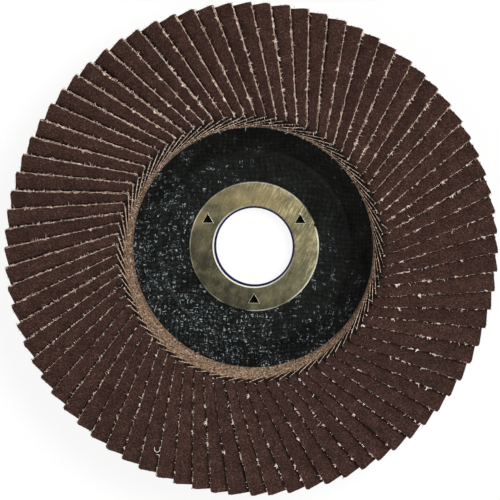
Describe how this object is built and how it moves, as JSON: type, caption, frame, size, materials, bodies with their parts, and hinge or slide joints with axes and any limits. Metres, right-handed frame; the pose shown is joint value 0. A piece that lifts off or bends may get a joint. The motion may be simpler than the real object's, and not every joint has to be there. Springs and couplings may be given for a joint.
{
  "type": "flap wheel",
  "caption": "Dished abrasive flap wheel: shingled cloth flaps glued round a moulded fibre plate with a steel centre ring, for a small angle grinder.",
  "frame": {"origin": "on the bore's axis, at the hub's back face, which the wheel rests on", "axes": "+Z along the bore's axis towards the working face, +X towards the tip of one flap"},
  "size_m": [0.1016, 0.1016, 0.0147],
  "materials": {
    "plate": "pressed glass fibre and phenolic resin, black, weave showing through",
    "ring": "pressed sheet steel, yellow passivated, brushed",
    "resin": "set adhesive, tan",
    "flaps": "cloth coated with dark reddish brown abrasive grain, cut edges pale"
  },
  "bodies": {
    "root": {"backing_plate": "plate", "centre_ring": "ring", "adhesive_bed": "resin", "flap_pair_01": "flaps", "flap_pair_02": "flaps", "flap_pair_03": "flaps", "flap_pair_04": "flaps", "flap_pair_05": "flaps", "flap_pair_06": "flaps", "flap_pair_07": "flaps", "flap_pair_08": "flaps", "flap_pair_09": "flaps", "flap_pair_10": "flaps", "flap_pair_11": "flaps", "flap_pair_12": "flaps", "flap_pair_13": "flaps", "flap_pair_14": "flaps", "flap_pair_15": "flaps", "flap_pair_16": "flaps", "flap_pair_17": "flaps", "flap_pair_18": "flaps", "flap_pair_19": "flaps", "flap_pair_20": "flaps", "flap_pair_21": "flaps", "flap_pair_22": "flaps", "flap_pair_23": "flaps", "flap_pair_24": "flaps", "flap_pair_25": "flaps", "flap_pair_26": "flaps", "flap_pair_27": "flaps", "flap_pair_28": "flaps", "flap_pair_29": "flaps", "flap_pair_30": "flaps", "flap_pair_31": "flaps", "flap_pair_32": "flaps", "flap_pair_33": "flaps", "flap_pair_34": "flaps", "flap_pair_35": "flaps", "flap_pair_36": "flaps", "flap_pair_37": "flaps", "flap_pair_38": "flaps", "flap_pair_39": "flaps", "flap_pair_40": "flaps"}
  },
  "joints": []
}
